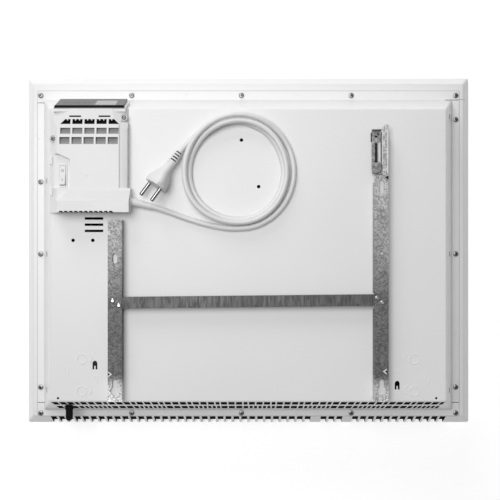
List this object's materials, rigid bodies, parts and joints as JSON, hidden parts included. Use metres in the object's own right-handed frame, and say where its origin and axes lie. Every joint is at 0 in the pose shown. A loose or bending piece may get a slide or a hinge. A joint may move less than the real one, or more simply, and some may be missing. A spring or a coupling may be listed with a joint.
{
  "type": "convector heater",
  "caption": "Slim white panel convector heater lying on its front, with its wall bracket, control cassette and coiled mains lead.",
  "frame": {"origin": "centre of the flat front face, on the surface that the heater lies on", "axes": "+X to the right as seen from behind, +Y to the heater's top edge, +Z out of the back"},
  "size_m": [0.563, 0.44, 0.102],
  "materials": {
    "white_sheet": "satin white powder coat",
    "galvanised": "galvanised, mottled",
    "white_plastic": "fine matt white",
    "grey_panel": "smooth mid grey",
    "window": "smoked clear",
    "black_plastic": "matt black",
    "zinc_screw": "bright zinc",
    "nickel_pin": "polished nickel",
    "aluminium_fin": "mill finish",
    "ceramic_bush": "unglazed",
    "inner_steel": "plain sheet",
    "cord_jacket": "smooth white PVC",
    "wire_red": "glass sleeve, red",
    "wire_blue": "glass sleeve, blue",
    "board_green": "solder mask",
    "relay_blue": "moulded case",
    "coil_copper": "varnished winding"
  },
  "bodies": {
    "heater": {"front_shell": "white_sheet", "outlet_grille": "white_plastic", "rear_pan": "white_sheet", "perimeter_screws": "white_sheet", "element_rod": "inner_steel", "element_fins": "aluminium_fin", "element_bushes": "ceramic_bush", "element_brackets": "inner_steel", "baffle": "inner_steel", "thermal_cutout": "black_plastic", "element_wire": "wire_red", "cutout_wire": "wire_blue", "cassette_tub": "white_plastic", "cassette_cover": "white_plastic", "cassette_screws": "zinc_screw", "control_panel": "grey_panel", "display_window": "window", "switch_housing": "white_plastic", "circuit_board": "board_green", "relay": "relay_blue", "power_choke": "coil_copper", "capacitors": "black_plastic", "terminal_block": "white_plastic", "cable_gland": "white_plastic", "room_sensor": "black_plastic", "sensor_grommet": "black_plastic", "pivot_lugs": "galvanised", "pivot_pins": "zinc_screw", "supply_cord": "cord_jacket", "cord_coil": "cord_jacket", "plug_lead": "cord_jacket", "plug_body": "white_plastic", "plug_pins": "nickel_pin"},
    "bracket": {"left_rail": "galvanised", "right_rail": "galvanised", "crossbar": "galvanised", "bracket_rivets": "zinc_screw", "latch_carrier": "galvanised", "latch_studs": "zinc_screw", "latch_spring": "inner_steel"},
    "latch": {"release_latch": "galvanised"},
    "rocker": {"switch_rocker": "white_plastic"},
    "power_key": {"button_power": "grey_panel"},
    "minus_key": {"button_minus": "grey_panel"},
    "plus_key": {"button_plus": "grey_panel"}
  },
  "joints": [
    {"name": "bracket_tilt", "type": "hinge", "parent": "heater", "child": "bracket", "pos_m": [0, -0.1735, 0.08], "axis": [1, 0, 0], "range_deg": [0, 25]},
    {"name": "latch_slide", "type": "slide", "parent": "bracket", "child": "latch", "axis": [0, -1, 0], "range_m": [0, 0.004], "stiffness_N_per_m": 300, "springref_m": -0.004},
    {"name": "rocker_tilt", "type": "hinge", "parent": "heater", "child": "rocker", "pos_m": [-0.2191, 0.088, 0.0805], "axis": [1, 0, 0], "range_deg": [0, 18]},
    {"name": "power_press", "type": "slide", "parent": "heater", "child": "power_key", "axis": [0, -0.9062, -0.4229], "range_m": [0, 0.0008], "stiffness_N_per_m": 400, "springref_m": -0.0008},
    {"name": "minus_press", "type": "slide", "parent": "heater", "child": "minus_key", "axis": [0, -0.9062, -0.4229], "range_m": [0, 0.0008], "stiffness_N_per_m": 400, "springref_m": -0.0008},
    {"name": "plus_press", "type": "slide", "parent": "heater", "child": "plus_key", "axis": [0, -0.9062, -0.4229], "range_m": [0, 0.0008], "stiffness_N_per_m": 400, "springref_m": -0.0008}
  ]
}
